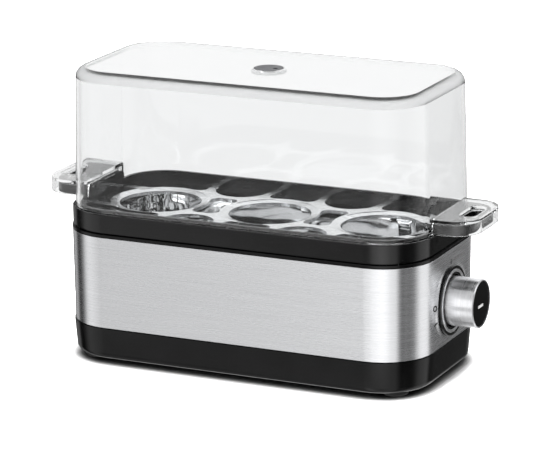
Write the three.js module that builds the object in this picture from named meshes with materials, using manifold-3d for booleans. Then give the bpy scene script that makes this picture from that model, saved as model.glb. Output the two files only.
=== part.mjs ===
// Three-egg electric egg boiler: base with a steel band, lift-out carrier with an egg rack, and a clear lid.
// Lengths are in millimetres. The table is at z = 0, the front faces -Y and the knob is on the +X end.
import * as THREE from "three";
import { mergeVertices } from "three/addons/utils/BufferGeometryUtils.js";
import Module from "manifold-3d";

const wasm = await Module();
wasm.setup();

// Driving sizes of the body, measured on the top edge of the steel band
const bodyLength = 190;
const bodyWidth = 94;
const bodyCornerRadius = 26;
const fitGap = 0.3;
const freeGap = 0.6;
const weldDistance = 0.0001;
const cutReach = 4;
const cornerSteps = 4;
const edgeSteps = 4;
const smallSteps = 2;
const slotSteps = 3;
const roundSides = 12;
const fineSides = 28;
const holeSides = 8;
const tubeSides = 6;
const hexSides = 6;

// Heights of the visible bands, from the table up
const footDrop = 2.5;
const baseHeight = 15.8;
const bandHeight = 45.7;
const frameEdgeHeight = 1.3;
const grooveHeight = 1.1;
const carrierWallHeight = 8.7;
const lidHeight = 68.6;
const baseLevel = footDrop;
const bandLevel = baseLevel + baseHeight + fitGap;
const frameLevel = bandLevel + bandHeight + fitGap;
const carrierLevel = frameLevel + frameEdgeHeight + fitGap;
const carrierLedgeHeight = grooveHeight + carrierWallHeight;
const lidLevel = carrierLevel + carrierLedgeHeight + fitGap;

// Steel band, and how far in from the body's outline its lining starts
const bandLowInset = 0.4;
const bandWall = 0.8;
const liningInset = bandWall + bandLowInset + fitGap;

// Base pan
const baseTopInset = -0.1;
const baseLowInset = 0.9;
const baseEdgeRadius = 3;
const panWall = 2.2;
const panRimWall = 1.6;
const panInset = liningInset + panRimWall;
const panFloor = 2.2;
const panRimHeight = 5;
const slotLength = 16;
const slotWidth = 2.4;
const slotPitch = 7;
const slotCount = 3;
const slotCentreX = -20;

// Top frame, with a skirt inside the band and a deck that carries the dish
const frameSkirtWall = 1.5;
const frameSkirtDepth = 6;
const frameDeckDepth = 1.1;

// Knob on the +X end, its axis at a share of the band's height
const controlHeightShare = 0.4464;
const controlHeight = bandLevel + bandHeight * controlHeightShare;
const knobRadius = 12;
const knobLength = 17.6;
const knobWall = 0.8;
const knobFloorGap = 0.6;
const knobChamfer = 0.4;
const knobFaceRecess = 0.4;
const knobFaceThickness = 2.2;
const knobCoreWall = 1.5;
const knobHubRadius = 5.4;
const pointerLength = 6.2;
const pointerWidth = 1.3;
const pointerThickness = 0.5;
const pointerDrop = 1.2;
const spindleRadius = 3;
const spindleTail = 10;
const spindleFlat = 0.8;

// Bezel round the knob, from its mouth out to its edge
const bezelMouthGap = 0.9;
const bezelMouthRadius = knobRadius + bezelMouthGap;
const bezelLand = 0.9;
const bezelGrooveInner = bezelMouthRadius + bezelLand;
const bezelGrooveWidth = 1.9;
const bezelGrooveOuter = bezelGrooveInner + bezelGrooveWidth;
const bezelEdge = 1.3;
const bezelRadius = bezelGrooveOuter + bezelEdge;
const bezelOverlap = 1;
const bezelHoleRadius = bezelRadius - bezelOverlap;
const bezelCollarRadius = bezelHoleRadius - fitGap;
const bezelFlange = 1.3;
const bezelGrooveDepth = 0.8;
const bezelCupDepth = 2.6;
const bezelFloor = 1.5;
const bezelPostRadius = 3;
const bezelPostOffset = 10;
const bezelPostDepth = 4;
const dialRingThickness = 0.7;

// Control unit behind the bezel
const controlPlateWidth = 28;
const controlPlateHeight = 18;
const controlPlateThickness = 1.6;
const controlBodyWidth = 14;
const controlBodyHeight = 17;
const controlBodyDepth = 16;
const controlTagLength = 5;
const controlTagWidth = 3;
const controlTagThickness = 0.8;
const controlTagPitch = 5;
const controlDishGap = 1.3;

// Heating dish, from the control unit's top up to its rim on the seal
const dishEndMargin = 15;
const dishSideMargin = 13;
const dishLength = bodyLength - dishEndMargin * 2;
const dishWidth = bodyWidth - dishSideMargin * 2;
const dishCornerInset = 6;
const dishCornerRadius = bodyCornerRadius - dishCornerInset;
const dishWall = 0.8;
const dishFloorRadius = 5;
const dishRimWidth = 5;
const dishOpeningGap = 1;
const sealHeight = 0.9;
const sealLevel = frameLevel + frameEdgeHeight + fitGap;
const dishLevel = controlHeight + controlBodyHeight / 2 + controlDishGap;
const dishDepth = sealLevel + sealHeight + fitGap + dishWall - dishLevel;

// Heater group under the dish
const spreaderEndMargin = 15;
const spreaderSideMargin = 7;
const spreaderLength = dishLength - spreaderEndMargin * 2;
const spreaderWidth = dishWidth - spreaderSideMargin * 2;
const spreaderCornerInset = 4;
const spreaderCornerRadius = dishCornerRadius - spreaderCornerInset;
const spreaderThickness = 1.8;
const thermostatRadius = 8;
const thermostatHeight = 5.6;
const thermostatCapRadius = 6.2;
const thermostatCapHeight = 2.4;
const thermostatX = -26;
const elementTubeRadius = 3.2;
const elementEndMargin = 21;
const elementHalfLength = spreaderLength / 2 - elementEndMargin;
const elementBendRadius = (spreaderWidth / 2 + thermostatRadius) / 2;
const elementPinRadius = 1.5;
const elementPinLength = 7;
const elementSteps = 24;
const elementBendSteps = 8;
const bridgeWidth = 12;
const bridgeThickness = 1.6;
const bridgeBossRadius = 3.2;
const bridgeBossInset = 7.4;
const bridgeBossOffset = bodyWidth / 2 - bridgeBossInset;
const studRadius = 2;
const studTail = 2.5;
const washerRadius = 5;
const washerThickness = 0.8;
const nutRadius = 4;
const nutHeight = 2.6;
const fuseRadius = 2;
const fuseLength = 15;
const fuseX = 24;
const fuseClipWall = 1;
const fuseClipWidth = 6;
const fuseClipFoot = 4;
const spreaderLevel = dishLevel - fitGap - spreaderThickness;
const elementLevel = spreaderLevel - fitGap - elementTubeRadius;
const bridgeLevel = elementLevel - elementTubeRadius - fitGap - bridgeThickness;

// Screws that hold base, band and frame together, in posts near the corners
const postInsetX = 15.5;
const postInsetY = 15;
const cornerPostX = bodyLength / 2 - postInsetX;
const cornerPostY = bodyWidth / 2 - postInsetY;
const postRadius = 3.7;
const sleeveRadius = 5.2;
const sleeveHeight = 10;
const screwRadius = 1.5;
const screwHeadRadius = 3;
const screwHeadHeight = 2;
const screwRecessDepth = 5.6;
const bodyScrewLength = 20;
const bridgeScrewLength = 9;
const controlScrewLength = 5.5;
const driveWidth = 0.9;
const driveShare = 0.62;

// Feet, plugged into the recesses of the screws
const footRadius = 6.6;
const footEdge = 0.8;
const footPegRadius = screwHeadRadius;

// Cord gland in the rear wall, and the terminal block beside it
const glandInsetX = 49;
const glandX = bodyLength / 2 - glandInsetX;
const glandDrop = 5.1;
const glandHeight = baseHeight - glandDrop;
const glandNoseRadius = 3.6;
const glandFlangeRadius = 5.2;
const glandFlangeDepth = 2;
const glandBoreRadius = 2.6;
const terminalGlandPitch = 26;
const terminalInsetY = 21;
const terminalX = glandX - terminalGlandPitch;
const terminalY = bodyWidth / 2 - terminalInsetY;
const terminalLength = 30;
const terminalDepth = 12;
const terminalHeight = 9;
const terminalWays = 3;
const terminalStep = 2.5;
const terminalBoreRadius = 1.6;
const terminalPostRadius = 3;
const terminalPostHeight = 5;
const terminalScrewLength = 12;

// Insulated leads inside the base
const leadRadius = 1.1;
const leadBend = 9;
const leadSteps = 8;

// Carrier frame
const carrierInset = 0.3;
const carrierSkirtInset = 1.5;
const carrierSkirtWall = 2.4;
const carrierShelfLevel = 2.8;
const carrierShelfThickness = 2.4;
const carrierShelfWidth = 2.5;
const carrierEdge = 0.5;
const lipHeight = 1.2;
const lipWall = 1.6;

// Lid
const lidInset = 1.8;
const lidDraft = 1.4;
const lidWall = 2;
const lidTopWall = 2.2;
const lidEdgeRadius = 5.3;
const ventRadius = 7.1;
const ventHoldWidth = 1.2;
const ventHoldHeight = 1.2;
const ventPortRadius = 1.3;
const ventPortX = 3.4;

// End handles: a clear one on the lid over a black one on the carrier
const handleProud = 19.5;
const handleReach = bodyLength / 2 + handleProud;
const handleHalfWidth = 22.4;
const handleTipRadius = 13;
const handleTop = 8;
const handlePlate = 1.7;
const handleRim = 1.6;
const handleRimDepth = 7.3;
const gripPlate = 4.4;
const gripDrop = 1.1;
const gripTipGap = 2;
const notchMargin = 4.4;
const notchHalfWidth = handleHalfWidth - notchMargin;
const notchCover = 0.5;
const notchTop = handleTop - handlePlate - notchCover;
const notchCornerRadius = 3;
const fingerRootMargin = 6.6;
const fingerTipMargin = 4;
const fingerStart = bodyLength / 2 + fingerRootMargin;
const fingerEnd = handleReach - fingerTipMargin;
const fingerHalfWidth = 10.5;
const fingerRim = 1.2;
const fingerRimDepth = 0.8;

// Egg rack
const eggRadius = 20.4;
const rackBand = 4.4;
const ringRadius = eggRadius + rackBand;
const rackEndMargin = 10.45;
const rackPitch = bodyLength / 2 - rackEndMargin - ringRadius;
const rackThickness = 1.6;
const rackSeatDrop = 0.9;
const rackArcSpacing = 23.95;
const rackArcOuter = (rackPitch - rackArcSpacing) / 2;
const rackArcBand = 4.3;
const rackArcInner = rackArcOuter - rackArcBand;
const rackArcOffset = 7.2;
const rackArcCentreY = ringRadius + rackArcOffset;
const rackTipFlare = 1.4;
const rackFilletRadius = 4;
const rackArmY = 17;
const rackArmWidth = 5;
const rackSideGap = 0.9;

// Materials
const blackPlastic = finish(0x1c1c1e, 0.42, 0);
const brushedSteel = finish(0xb9bcc0, 0.34, 1);
const polishedSteel = finish(0xd4d6d8, 0.12, 1);
const aluminium = finish(0xc2c4c7, 0.3, 1);
const rackMetal = finish(0xdcdedf, 0.25, 1);
const zincSteel = finish(0xa7abb0, 0.4, 1);
const rubber = finish(0x232323, 0.9, 0);
const silicone = finish(0x9a4a3a, 0.7, 0);
const ceramic = finish(0xe3ddd0, 0.6, 0);
const whitePaint = finish(0xf2f2f2, 0.5, 0);
const ventPlastic = finish(0x6c6d70, 0.4, 0);
const leadCover = finish(0xd8d2c2, 0.7, 0);
const clearPlastic = finish(0xf1f4f5, 0.06, 0);
clearPlastic.transparent = true;
clearPlastic.opacity = 0.3;

const group = new THREE.Group();

function finish(colour, roughness, metalness) {
  return new THREE.MeshStandardMaterial({ color: colour, roughness: roughness, metalness: metalness });
}

// Solids are made from closed three.js geometries, and come back as geometries to be shown.
function solid(geometry) {
  const bare = geometry.clone();
  bare.deleteAttribute("normal");
  bare.deleteAttribute("uv");
  const welded = mergeVertices(bare, weldDistance);
  const corners = welded.index.array;
  const kept = [];
  for (let i = 0; i < corners.length; i += 3) {
    const [a, b, c] = [corners[i], corners[i + 1], corners[i + 2]];
    if (a !== b && b !== c && c !== a) {
      kept.push(a, b, c);
    }
  }
  const vertProperties = new Float32Array(welded.attributes.position.array);
  const build = () => new wasm.Mesh({ numProp: 3, vertProperties, triVerts: new Uint32Array(kept) });
  const outward = new wasm.Manifold(build());
  if (outward.volume() > 0) {
    return outward;
  }
  kept.reverse();
  return new wasm.Manifold(build());
}

function shown(body) {
  const { vertProperties, triVerts } = body.asOriginal().simplify(weldDistance).getMesh();
  const geometry = new THREE.BufferGeometry();
  geometry.setAttribute("position", new THREE.BufferAttribute(vertProperties, 3));
  geometry.setIndex(new THREE.BufferAttribute(triVerts, 1));
  geometry.computeVertexNormals();
  return geometry;
}

function place(name, body, material, x, y, z) {
  const mesh = new THREE.Mesh(shown(body), material);
  mesh.name = name;
  mesh.position.set(x, y, z);
  group.add(mesh);
  return mesh;
}

// A rectangle with round corners, centred on the origin.
function roundedOutline(length, width, radius) {
  const [x, y] = [length / 2 - radius, width / 2 - radius];
  const outline = new THREE.Shape();
  outline.absarc(x, y, radius, 0, Math.PI / 2);
  outline.absarc(-x, y, radius, Math.PI / 2, Math.PI);
  outline.absarc(-x, -y, radius, Math.PI, Math.PI * 1.5);
  outline.absarc(x, -y, radius, Math.PI * 1.5, Math.PI * 2);
  return outline;
}

function extruded(outline, depth, steps = cornerSteps) {
  return solid(new THREE.ExtrudeGeometry(outline, { depth, bevelEnabled: false, curveSegments: steps }));
}

function roundedPlate(length, width, radius, thickness, steps = cornerSteps) {
  return extruded(roundedOutline(length, width, radius), thickness, steps);
}

// A block with the body's rounded outline, drawn in by each section's inset at that section's height.
function bodyBlock(sections, length = bodyLength, width = bodyWidth, radius = bodyCornerRadius) {
  const layers = sections.length - 1;
  const settings = { depth: layers, steps: layers, bevelEnabled: false, curveSegments: cornerSteps };
  const geometry = new THREE.ExtrudeGeometry(roundedOutline(length, width, radius), settings);
  const points = geometry.attributes.position;
  for (let i = 0; i < points.count; i += 1) {
    const section = sections[Math.round(points.getZ(i))];
    const centreX = Math.sign(points.getX(i)) * (length / 2 - radius);
    const centreY = Math.sign(points.getY(i)) * (width / 2 - radius);
    const share = (radius - section.inset) / radius;
    const x = centreX + (points.getX(i) - centreX) * share;
    const y = centreY + (points.getY(i) - centreY) * share;
    points.setXYZ(i, x, y, section.height);
  }
  return solid(geometry);
}

function straightBlock(inset, low, high) {
  return bodyBlock([{ inset, height: low }, { inset, height: high }]);
}

// Sections that round a block's lower edge, from its flat underside up to its wall.
function lowerEdge(wallInset, radius, height, steps = edgeSteps) {
  const sections = [];
  for (let step = 0; step <= steps; step += 1) {
    const angle = (step / steps) * (Math.PI / 2);
    const inset = wallInset + radius * (1 - Math.sin(angle));
    sections.push({ inset, height: height + radius * (1 - Math.cos(angle)) });
  }
  return sections;
}

// Sections that round a block's upper edge, from its wall up to its flat top.
function upperEdge(wallInset, radius, height, steps = edgeSteps) {
  const sections = [];
  for (let step = 0; step <= steps; step += 1) {
    const angle = (step / steps) * (Math.PI / 2);
    const inset = wallInset + radius * (1 - Math.cos(angle));
    sections.push({ inset, height: height - radius * (1 - Math.sin(angle)) });
  }
  return sections;
}

// A turned solid about Z, from [radius, height] points that start and end on the axis or close on themselves.
function turned(profile, sides = roundSides) {
  const points = profile.map(([radius, height]) => new THREE.Vector2(radius, height));
  return solid(new THREE.LatheGeometry(points, sides).rotateX(Math.PI / 2));
}

function disc(radius, low, high, sides = roundSides) {
  return turned([[0, low], [radius, low], [radius, high], [0, high]], sides);
}

function ring(outer, inner, low, high, sides = roundSides) {
  return turned([[inner, low], [outer, low], [outer, high], [inner, high], [inner, low]], sides);
}

function box(sizeX, sizeY, sizeZ) {
  return solid(new THREE.BoxGeometry(sizeX, sizeY, sizeZ));
}

// Turns a solid made about Z so that its axis lies along +X.
function alongX(body) {
  return body.rotate([0, 90, 0]);
}

function tubeAlong(extrudePath, radius, steps) {
  const section = new THREE.Shape();
  for (let side = 0; side < tubeSides; side += 1) {
    const angle = (side / tubeSides) * Math.PI * 2;
    const [x, y] = [radius * Math.cos(angle), radius * Math.sin(angle)];
    if (side === 0) {
      section.moveTo(x, y);
    } else {
      section.lineTo(x, y);
    }
  }
  section.closePath();
  return solid(new THREE.ExtrudeGeometry(section, { steps, extrudePath }));
}

// A pan-head screw with a cross drive, its head's seat at z = 0 and its shank going up.
function screw(length) {
  const head = disc(screwHeadRadius, -screwHeadHeight, 0, roundSides);
  const shank = disc(screwRadius, -fitGap, length, holeSides);
  const reach = screwHeadRadius * 2 * driveShare;
  const slot = box(reach, driveWidth, screwHeadHeight).translate([0, 0, -screwHeadHeight]);
  const cross = slot.add(slot.rotate([0, 0, 90]));
  return head.add(shank).subtract(cross);
}

function fourCorners(x, y) {
  return [[x, y], [-x, y], [-x, -y], [x, -y]];
}

// Base pan: an open tub whose rim reaches up inside the steel band
function makeBasePan() {
  const wall = { inset: baseTopInset, height: baseHeight };
  const rim = straightBlock(liningInset, panFloor, baseHeight + panRimHeight);
  const hollow = bodyBlock([
    ...lowerEdge(panInset, baseEdgeRadius - panWall, panFloor, smallSteps),
    { inset: panInset, height: baseHeight + panRimHeight + cutReach },
  ]);
  let pan = bodyBlock([...lowerEdge(baseLowInset, baseEdgeRadius, 0), wall]).add(rim).subtract(hollow);
  for (const [x, y] of fourCorners(cornerPostX, cornerPostY)) {
    const sleeve = disc(sleeveRadius, panFloor / 2, sleeveHeight);
    const recess = disc(screwHeadRadius + fitGap, -cutReach, screwRecessDepth);
    const hole = disc(screwRadius + fitGap, 0, sleeveHeight + cutReach, holeSides);
    pan = pan.add(sleeve.translate([x, y, 0])).subtract(recess.add(hole).translate([x, y, 0]));
  }
  const post = disc(terminalPostRadius, panFloor / 2, panFloor + terminalPostHeight);
  const pilot = disc(screwRadius + fitGap, panFloor, panFloor + terminalPostHeight + cutReach, holeSides);
  const terminalPlace = [terminalX, terminalY, 0];
  pan = pan.add(post.translate(terminalPlace)).subtract(pilot.translate(terminalPlace));
  for (let i = 0; i < slotCount; i += 1) {
    const slot = roundedPlate(slotLength, slotWidth, slotWidth / 2, panFloor + cutReach * 2, smallSteps);
    pan = pan.subtract(slot.translate([slotCentreX, (i - (slotCount - 1) / 2) * slotPitch, -cutReach]));
  }
  const glandHole = disc(glandNoseRadius + fitGap, -cutReach * 2, cutReach).rotate([90, 0, 0]);
  pan = pan.subtract(glandHole.translate([glandX, bodyWidth / 2, glandHeight]));
  return pan.subtract(bezelRoom(baseLevel));
}

// Steel band: a thin tapered wall with the control opening in its +X end
function makeSteelBand() {
  const outer = bodyBlock([{ inset: bandLowInset, height: 0 }, { inset: 0, height: bandHeight }]);
  const taper = bandLowInset / bandHeight;
  const inner = bodyBlock([
    { inset: bandLowInset + bandWall + taper * cutReach, height: -cutReach },
    { inset: bandWall - taper * cutReach, height: bandHeight + cutReach },
  ]);
  const opening = alongX(disc(bezelHoleRadius, -cutReach, cutReach, fineSides));
  return outer.subtract(inner).subtract(opening.translate([bodyLength / 2, 0, controlHeight - bandLevel]));
}

// The room that the bezel takes up inside the band, for a piece that stands at the level given
function bezelRoom(level) {
  const room = alongX(disc(bezelCollarRadius + freeGap, -panInset - cutReach, cutReach, fineSides));
  return room.translate([bodyLength / 2, 0, controlHeight - level]);
}

// Top frame: visible collar, skirt in the band, deck for the dish, and posts for the screws
function makeTopFrame() {
  const collar = straightBlock(baseTopInset, 0, frameEdgeHeight);
  const skirt = straightBlock(liningInset, -frameSkirtDepth, frameEdgeHeight / 2);
  const hollow = straightBlock(liningInset + frameSkirtWall, -frameSkirtDepth - cutReach, -frameDeckDepth);
  const openingLength = dishLength + dishOpeningGap;
  const openingWidth = dishWidth + dishOpeningGap;
  const openingRadius = dishCornerRadius + dishOpeningGap / 2;
  const opening = roundedPlate(openingLength, openingWidth, openingRadius, cutReach * 2);
  let frame = collar.add(skirt).subtract(hollow).subtract(opening.translate([0, 0, -cutReach]));
  const postFoot = baseLevel + sleeveHeight + fitGap - frameLevel;
  for (const [x, y] of fourCorners(cornerPostX, cornerPostY)) {
    const post = disc(postRadius, postFoot, -frameDeckDepth / 2);
    const pilot = disc(screwRadius + fitGap, postFoot - cutReach, postFoot + bodyScrewLength, holeSides);
    frame = frame.add(post.translate([x, y, 0])).subtract(pilot.translate([x, y, 0]));
  }
  const bossFoot = bridgeLevel + bridgeThickness + fitGap - frameLevel;
  for (const y of [bridgeBossOffset, -bridgeBossOffset]) {
    const boss = disc(bridgeBossRadius, bossFoot, -frameDeckDepth / 2);
    const pilot = disc(screwRadius + fitGap, bossFoot - cutReach, bossFoot + bridgeScrewLength, holeSides);
    frame = frame.add(boss.translate([0, y, 0])).subtract(pilot.translate([0, y, 0]));
  }
  return frame.subtract(bezelRoom(frameLevel));
}

// Heating dish: a pressed tray with a flat rim and a stud under its middle, its underside at z = 0
function makeHeatingDish() {
  const [length, width, radius] = [dishLength, dishWidth, dishCornerRadius];
  const outer = bodyBlock([
    ...lowerEdge(0, dishFloorRadius, 0, smallSteps),
    { inset: 0, height: dishDepth },
  ], length, width, radius);
  const hollow = bodyBlock([
    ...lowerEdge(dishWall, dishFloorRadius - dishWall, dishWall),
    { inset: dishWall, height: dishDepth + cutReach },
  ], length, width, radius);
  const rimWidth = width + dishRimWidth * 2;
  const rim = roundedPlate(length + dishRimWidth * 2, rimWidth, radius + dishRimWidth, dishWall);
  const studFoot = bridgeLevel - fitGap - washerThickness - fitGap - nutHeight - studTail - dishLevel;
  const stud = disc(studRadius, studFoot, dishWall / 2);
  return outer.add(rim.translate([0, 0, dishDepth - dishWall])).subtract(hollow).add(stud);
}

function makeDishSeal() {
  const outer = roundedPlate(
    dishLength + dishRimWidth * 2, dishWidth + dishRimWidth * 2, dishCornerRadius + dishRimWidth, sealHeight);
  const inner = roundedPlate(
    dishLength + dishOpeningGap * 2, dishWidth + dishOpeningGap * 2, dishCornerRadius + dishOpeningGap,
    sealHeight + cutReach * 2);
  return outer.subtract(inner.translate([0, 0, -cutReach]));
}

function makeHeatSpreader() {
  const plate = roundedPlate(spreaderLength, spreaderWidth, spreaderCornerRadius, spreaderThickness);
  return plate.subtract(disc(studRadius + fitGap, -cutReach, cutReach));
}

// Heating element: a U of tube with a thinner pin out of each end
function makeHeatingElement() {
  const points = [];
  points.push(new THREE.Vector3(elementHalfLength, -elementBendRadius, 0));
  points.push(new THREE.Vector3(0, -elementBendRadius, 0));
  for (let step = 0; step <= elementBendSteps; step += 1) {
    const angle = -Math.PI / 2 - (step / elementBendSteps) * Math.PI;
    const x = -elementHalfLength + elementBendRadius * Math.cos(angle);
    points.push(new THREE.Vector3(x, elementBendRadius * Math.sin(angle), 0));
  }
  points.push(new THREE.Vector3(0, elementBendRadius, 0));
  points.push(new THREE.Vector3(elementHalfLength, elementBendRadius, 0));
  let element = tubeAlong(new THREE.CatmullRomCurve3(points), elementTubeRadius, elementSteps);
  const pin = alongX(disc(elementPinRadius, -elementPinLength, elementPinLength, holeSides));
  for (const y of [elementBendRadius, -elementBendRadius]) {
    element = element.add(pin.translate([elementHalfLength, y, 0]));
  }
  return element;
}

function makeClampBridge() {
  const length = (bridgeBossOffset + bridgeBossRadius) * 2;
  const strap = roundedPlate(bridgeWidth, length, bridgeBossRadius, bridgeThickness);
  let bridge = strap.subtract(disc(studRadius + fitGap, -cutReach, cutReach));
  for (const y of [bridgeBossOffset, -bridgeBossOffset]) {
    bridge = bridge.subtract(disc(screwRadius + fitGap, -cutReach, cutReach, holeSides).translate([0, y, 0]));
  }
  return bridge;
}

function makeNut() {
  const hex = disc(nutRadius, 0, nutHeight, hexSides);
  return hex.subtract(disc(studRadius + fitGap, -cutReach, nutHeight + cutReach));
}

function makeThermostat() {
  const body = disc(thermostatRadius, -thermostatHeight, 0);
  const cap = disc(thermostatCapRadius, -thermostatHeight - thermostatCapHeight, -thermostatHeight / 2);
  return body.add(cap);
}

function makeThermalFuse() {
  return alongX(disc(fuseRadius, -fuseLength / 2, fuseLength / 2, holeSides));
}

// Fuse clip: a saddle over the fuse with a flat foot on each side, its feet's top at z = 0
function makeFuseClip() {
  const inner = fuseRadius + fitGap;
  const outer = inner + fuseClipWall;
  const arch = alongX(disc(outer, -fuseClipWidth / 2, fuseClipWidth / 2)).translate([0, 0, -inner]);
  const foot = box(fuseClipWidth, (outer + fuseClipFoot) * 2, fuseClipWall);
  const channel = alongX(disc(inner, -fuseClipWidth, fuseClipWidth)).translate([0, 0, -inner]);
  const trim = box(fuseClipWidth * 2, outer * 4, outer * 2).translate([0, 0, outer]);
  const mouth = box(fuseClipWidth * 2, inner * 2, inner * 2);
  return arch.add(foot.translate([0, 0, -fuseClipWall / 2])).subtract(channel).subtract(mouth).subtract(trim);
}

// Rubber foot: a pad under the pan, and a peg that fills a screw's recess up to the screw's head
function makeRubberFoot() {
  const padTop = footDrop - fitGap;
  const headFoot = footDrop + screwRecessDepth - fitGap - screwHeadHeight;
  const pegTop = headFoot - fitGap;
  return turned([
    [0, 0], [footRadius - footEdge, 0], [footRadius, footEdge], [footRadius, padTop],
    [footPegRadius, padTop], [footPegRadius, pegTop], [0, pegTop],
  ]);
}

function makeTerminalBlock() {
  let block = box(terminalLength, terminalDepth, terminalHeight).translate([0, 0, terminalHeight / 2]);
  const pitch = terminalLength / terminalWays;
  const bore = disc(terminalBoreRadius, -terminalDepth, terminalDepth, holeSides).rotate([90, 0, 0]);
  for (let way = 0; way < terminalWays; way += 1) {
    const x = (way - (terminalWays - 1) / 2) * pitch;
    if (x !== 0) {
      block = block.subtract(bore.translate([x, 0, terminalHeight / 2]));
    }
  }
  for (const side of [1, -1]) {
    const notch = box(pitch * 2, terminalStep * 2, terminalStep * 2);
    block = block.subtract(notch.translate([0, side * terminalDepth / 2, terminalHeight]));
  }
  return block.subtract(disc(screwRadius + fitGap, -cutReach, terminalHeight + cutReach, holeSides));
}

// Cord gland: a flange inside the rear wall and a nose that fills the hole, its bore along Y
function makeCordGland() {
  const wall = panInset - baseTopInset + fitGap;
  const nose = disc(glandNoseRadius, -glandFlangeDepth / 2, wall);
  const flange = disc(glandFlangeRadius, -glandFlangeDepth, 0);
  const bore = disc(glandBoreRadius, -glandFlangeDepth - cutReach, wall + cutReach);
  return nose.add(flange).subtract(bore).rotate([-90, 0, 0]);
}

// Bezel: a black cup in the band's opening, with a groove for the dial ring, its flange's seat at x = 0
function makeControlBezel() {
  const floorBack = -bezelCupDepth - bezelFloor;
  const cup = turned([
    [spindleRadius + freeGap, floorBack], [bezelCollarRadius, floorBack], [bezelCollarRadius, 0],
    [bezelRadius, 0], [bezelRadius, bezelFlange], [bezelGrooveOuter, bezelFlange],
    [bezelGrooveOuter, bezelFlange - bezelGrooveDepth], [bezelGrooveInner, bezelFlange - bezelGrooveDepth],
    [bezelGrooveInner, bezelFlange], [bezelMouthRadius, bezelFlange], [bezelMouthRadius, -bezelCupDepth],
    [spindleRadius + freeGap, -bezelCupDepth], [spindleRadius + freeGap, floorBack],
  ], fineSides);
  let bezel = cup;
  for (const side of [1, -1]) {
    const post = disc(bezelPostRadius, floorBack - bezelPostDepth, floorBack + bezelFloor / 2);
    const pilot = disc(screwRadius + fitGap, floorBack - bezelPostDepth - cutReach, floorBack, holeSides);
    bezel = bezel.add(post.translate([0, side * bezelPostOffset, 0]));
    bezel = bezel.subtract(pilot.translate([0, side * bezelPostOffset, 0]));
  }
  return alongX(bezel);
}

function makeDialRing() {
  return alongX(ring(bezelGrooveOuter - fitGap, bezelGrooveInner + fitGap, 0, dialRingThickness, fineSides));
}

// Knob sleeve: an open tube with a chamfered front edge
function makeKnobSleeve() {
  const inner = knobRadius - knobWall;
  return alongX(turned([
    [inner, 0], [knobRadius, 0], [knobRadius, knobLength - knobChamfer],
    [knobRadius - knobChamfer, knobLength], [inner, knobLength], [inner, 0],
  ], fineSides));
}

// Knob core: front disc, outer skirt that holds the sleeve, and the hub on the spindle
function makeKnobCore() {
  const outer = knobRadius - knobWall - fitGap;
  const front = knobLength - knobFaceRecess;
  const back = front - knobFaceThickness;
  const profile = [
    [spindleRadius + fitGap, 0], [knobHubRadius, 0], [knobHubRadius, back], [outer - knobCoreWall, back],
    [outer - knobCoreWall, 0], [outer, 0], [outer, front], [0, front], [0, back],
    [spindleRadius + fitGap, back], [spindleRadius + fitGap, 0],
  ];
  const seat = box(pointerWidth + fitGap * 2, pointerLength + fitGap * 2, (pointerThickness + fitGap) * 2);
  return alongX(turned(profile, fineSides).subtract(seat.translate([pointerDrop, 0, front])));
}

function makeKnobPointer() {
  return alongX(box(pointerWidth, pointerLength, pointerThickness));
}

function makeSpindle(length) {
  const flat = box(spindleRadius * 2, spindleRadius * 2, length);
  const shaft = disc(spindleRadius, 0, length);
  return alongX(shaft.subtract(flat.translate([spindleRadius * 2 - spindleFlat, 0, length])));
}

// Control unit: its mounting plate's front at x = 0, its body and tags behind
function makeControlUnit() {
  const plate = box(controlPlateThickness, controlPlateWidth, controlPlateHeight);
  const body = box(controlBodyDepth, controlBodyWidth, controlBodyHeight);
  const bodyCentre = -controlPlateThickness / 2 - controlBodyDepth / 2;
  let unit = plate.translate([-controlPlateThickness / 2, 0, 0]).add(body.translate([bodyCentre, 0, 0]));
  for (const side of [1, -1]) {
    const hole = alongX(disc(screwRadius + fitGap, -cutReach, cutReach, holeSides));
    unit = unit.subtract(hole.translate([0, side * bezelPostOffset, 0]));
    const tag = box(controlTagLength * 2, controlTagWidth, controlTagThickness);
    const tagX = bodyCentre - controlBodyDepth / 2;
    unit = unit.add(tag.translate([tagX, 0, side * controlTagPitch]));
  }
  const bore = alongX(disc(spindleRadius + fitGap, -spindleTail - fitGap, cutReach));
  return unit.subtract(bore);
}

// D-shaped plan of an end handle, from a straight root to a tip with two round corners
function handleOutline(root, reach, halfWidth, tipRadius) {
  const outline = new THREE.Shape();
  outline.moveTo(root, -halfWidth);
  outline.lineTo(reach - tipRadius, -halfWidth);
  outline.absarc(reach - tipRadius, -halfWidth + tipRadius, tipRadius, -Math.PI / 2, 0);
  outline.absarc(reach - tipRadius, halfWidth - tipRadius, tipRadius, 0, Math.PI / 2);
  outline.lineTo(root, halfWidth);
  outline.closePath();
  return outline;
}

function fingerSlot(grow, low, high) {
  const length = fingerEnd - fingerStart + grow * 2;
  const slot = roundedPlate(length, (fingerHalfWidth + grow) * 2, length / 2, high - low, slotSteps);
  return slot.translate([(fingerStart + fingerEnd) / 2, 0, low]);
}

// A block along X with its two upper edges rounded
function archBlock(startX, endX, halfWidth, floor, crown, cornerRadius) {
  const outline = new THREE.Shape();
  outline.moveTo(-halfWidth, floor);
  outline.lineTo(halfWidth, floor);
  outline.absarc(halfWidth - cornerRadius, crown - cornerRadius, cornerRadius, 0, Math.PI / 2);
  outline.absarc(cornerRadius - halfWidth, crown - cornerRadius, cornerRadius, Math.PI / 2, Math.PI);
  outline.closePath();
  return extruded(outline, endX - startX).rotate([90, 0, 90]).translate([startX, 0, 0]);
}

function mirrored(body) {
  return body.add(body.rotate([0, 0, 180]));
}

// Inner end face of the carrier's lip, from which the lugs and grips start
const lipInset = lidInset + lidWall + freeGap;
const carrierHollowInset = lipInset + lipWall;
const lugStart = bodyLength / 2 - carrierHollowInset;
const lidWallOuter = bodyLength / 2 - lidInset;
const gripStart = lidWallOuter + freeGap;

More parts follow.
